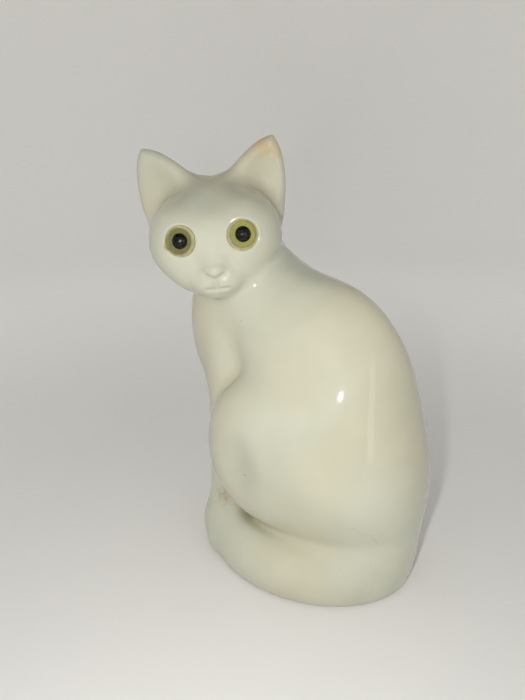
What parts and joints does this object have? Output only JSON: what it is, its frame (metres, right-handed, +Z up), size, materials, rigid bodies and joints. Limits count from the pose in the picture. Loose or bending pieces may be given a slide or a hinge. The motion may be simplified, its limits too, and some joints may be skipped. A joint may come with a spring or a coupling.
{
  "type": "cat figurine",
  "caption": "Seated hollow glazed ceramic cat looking back over its left shoulder, tail curled round its base, with clear glass eyes cemented into drilled sockets",
  "frame": {"origin": "middle of the flat underside of the base, where the figurine stands", "axes": "+Z up, the cat's body faces -Y, +X is the cat's left side, over which it looks back"},
  "size_m": [0.1034, 0.1694, 0.242],
  "materials": {
    "glazed_ceramic": "glossy cream-white glaze with faint crazing and a few brown stains",
    "eye_cement": "satin cream adhesive, slightly yellowed",
    "left_iris_enamel": "bright yellow-green enamel behind the glass",
    "right_iris_enamel": "duller olive enamel behind the glass",
    "pupil_glass": "polished black glass bead",
    "eye_glass": "clear polished glass"
  },
  "bodies": {
    "root": {"ceramic_shell": "glazed_ceramic", "left_eye_cement": "eye_cement", "left_eye_iris": "left_iris_enamel", "left_eye_pupil": "pupil_glass", "left_eye_glass": "eye_glass", "right_eye_cement": "eye_cement", "right_eye_iris": "right_iris_enamel", "right_eye_pupil": "pupil_glass", "right_eye_glass": "eye_glass"}
  },
  "joints": []
}
